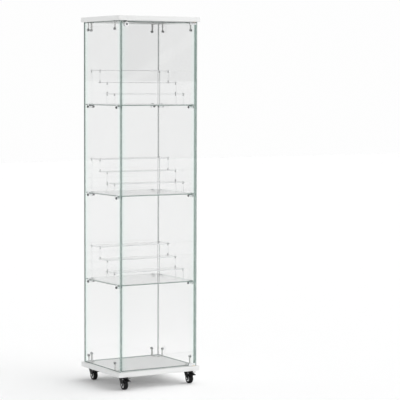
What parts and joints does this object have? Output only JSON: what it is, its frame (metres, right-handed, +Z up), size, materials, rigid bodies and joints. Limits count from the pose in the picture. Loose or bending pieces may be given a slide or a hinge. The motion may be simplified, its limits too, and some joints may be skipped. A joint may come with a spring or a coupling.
{
  "type": "glass display case",
  "caption": "Tall glass display case with a locking pivot door, glass shelves, clear step risers and braked swivel casters under its base board.",
  "frame": {"origin": "on the floor, under the middle of the case's outline", "axes": "+X to the right seen from the front, +Y to the back, +Z up; the door is on the -Y side"},
  "size_m": [0.425, 0.394, 1.704],
  "materials": {
    "white_laminate": "satin white laminate",
    "clear_glass": "clear tempered glass with green edges",
    "nickel_strip": "satin nickel",
    "chrome_fittings": "polished",
    "steel_screws": "zinc plated",
    "dark_caps": "dark grey satin",
    "dark_rubber": "matte",
    "brass_inserts": "turned",
    "clear_pads": "clear",
    "clear_acrylic": "clear polished acrylic",
    "black_plastic": "fine texture",
    "black_tyre": "matte",
    "grey_hub": "satin light grey"
  },
  "bodies": {
    "cabinet": {"top_board": "white_laminate", "base_board": "white_laminate", "left_glass": "clear_glass", "back_glass": "clear_glass", "right_glass": "clear_glass", "upper_shelf": "clear_glass", "middle_shelf": "clear_glass", "lower_shelf": "clear_glass", "shelf_clips": "chrome_fittings", "clip_rubbers": "dark_rubber", "clip_bolts": "dark_caps", "top_brackets": "nickel_strip", "base_brackets": "nickel_strip", "bracket_screws": "steel_screws", "glass_bolts": "dark_caps", "pivot_bushes": "brass_inserts", "lock_strike": "nickel_strip", "caster_inserts": "brass_inserts", "caster_stems": "steel_screws"},
    "door": {"door_glass": "clear_glass", "top_pivot_clamp": "chrome_fittings", "base_pivot_clamp": "chrome_fittings", "clamp_pads": "clear_pads", "clamp_screws": "steel_screws", "lock_housing": "chrome_fittings", "lock_nut": "steel_screws"},
    "lock": {"lock_plug": "steel_screws", "lock_cam": "nickel_strip", "cam_screw": "steel_screws"},
    "front_left_caster": {"front_left_fork": "black_plastic", "front_left_axle_pins": "steel_screws"},
    "front_left_wheel": {"front_left_hub": "grey_hub", "front_left_tyre": "black_tyre"},
    "front_left_brake": {"front_left_pedal": "black_plastic"},
    "front_right_caster": {"front_right_fork": "black_plastic", "front_right_axle_pins": "steel_screws"},
    "front_right_wheel": {"front_right_hub": "grey_hub", "front_right_tyre": "black_tyre"},
    "front_right_brake": {"front_right_pedal": "black_plastic"},
    "rear_left_caster": {"rear_left_fork": "black_plastic", "rear_left_axle_pins": "steel_screws"},
    "rear_left_wheel": {"rear_left_hub": "grey_hub", "rear_left_tyre": "black_tyre"},
    "rear_left_brake": {"rear_left_pedal": "black_plastic"},
    "rear_right_caster": {"rear_right_fork": "black_plastic", "rear_right_axle_pins": "steel_screws"},
    "rear_right_wheel": {"rear_right_hub": "grey_hub", "rear_right_tyre": "black_tyre"},
    "rear_right_brake": {"rear_right_pedal": "black_plastic"},
    "upper_riser": {"upper_riser_tiers": "clear_acrylic", "upper_riser_posts": "clear_acrylic", "upper_riser_screws": "chrome_fittings"},
    "middle_riser": {"middle_riser_tiers": "clear_acrylic", "middle_riser_posts": "clear_acrylic", "middle_riser_screws": "chrome_fittings"},
    "lower_riser": {"lower_riser_tiers": "clear_acrylic", "lower_riser_posts": "clear_acrylic", "lower_riser_screws": "chrome_fittings"}
  },
  "joints": [
    {"name": "door_swing", "type": "hinge", "parent": "cabinet", "child": "door", "pos_m": [0.1855, -0.172, 0.841], "axis": [0, 0, 1], "range_deg": [0, 110]},
    {"name": "lock_turn", "type": "hinge", "parent": "door", "child": "lock", "pos_m": [-0.1685, -0.174, 1.665], "axis": [0, -1, 0], "range_deg": [0, 90]},
    {"name": "front_left_swivel", "type": "hinge", "parent": "cabinet", "child": "front_left_caster", "pos_m": [-0.1725, -0.145, 0.052], "axis": [0, 0, 1], "continuous": true},
    {"name": "front_left_roll", "type": "hinge", "parent": "front_left_caster", "child": "front_left_wheel", "pos_m": [-0.1725, -0.159, 0.023], "axis": [1, 0, 0], "continuous": true},
    {"name": "front_left_brake_press", "type": "hinge", "parent": "front_left_caster", "child": "front_left_brake", "pos_m": [-0.1725, -0.17, 0.05], "axis": [1, 0, 0], "range_deg": [0, 14]},
    {"name": "front_right_swivel", "type": "hinge", "parent": "cabinet", "child": "front_right_caster", "pos_m": [0.1725, -0.145, 0.052], "axis": [0, 0, 1], "continuous": true},
    {"name": "front_right_roll", "type": "hinge", "parent": "front_right_caster", "child": "front_right_wheel", "pos_m": [0.1725, -0.159, 0.023], "axis": [1, 0, 0], "continuous": true},
    {"name": "front_right_brake_press", "type": "hinge", "parent": "front_right_caster", "child": "front_right_brake", "pos_m": [0.1725, -0.17, 0.05], "axis": [1, 0, 0], "range_deg": [0, 14]},
    {"name": "rear_left_swivel", "type": "hinge", "parent": "cabinet", "child": "rear_left_caster", "pos_m": [-0.1725, 0.157, 0.052], "axis": [0, 0, 1], "continuous": true},
    {"name": "rear_left_roll", "type": "hinge", "parent": "rear_left_caster", "child": "rear_left_wheel", "pos_m": [-0.1725, 0.143, 0.023], "axis": [1, 0, 0], "continuous": true},
    {"name": "rear_left_brake_press", "type": "hinge", "parent": "rear_left_caster", "child": "rear_left_brake", "pos_m": [-0.1725, 0.132, 0.05], "axis": [1, 0, 0], "range_deg": [0, 14]},
    {"name": "rear_right_swivel", "type": "hinge", "parent": "cabinet", "child": "rear_right_caster", "pos_m": [0.1725, 0.157, 0.052], "axis": [0, 0, 1], "continuous": true},
    {"name": "rear_right_roll", "type": "hinge", "parent": "rear_right_caster", "child": "rear_right_wheel", "pos_m": [0.1725, 0.143, 0.023], "axis": [1, 0, 0], "continuous": true},
    {"name": "rear_right_brake_press", "type": "hinge", "parent": "rear_right_caster", "child": "rear_right_brake", "pos_m": [0.1725, 0.132, 0.05], "axis": [1, 0, 0], "range_deg": [0, 14]},
    {"name": "upper_riser_lift", "type": "slide", "parent": "cabinet", "child": "upper_riser", "axis": [0, 0, 1], "range_m": [0, 0.12]},
    {"name": "middle_riser_lift", "type": "slide", "parent": "cabinet", "child": "middle_riser", "axis": [0, 0, 1], "range_m": [0, 0.12]},
    {"name": "lower_riser_lift", "type": "slide", "parent": "cabinet", "child": "lower_riser", "axis": [0, 0, 1], "range_m": [0, 0.12]}
  ]
}
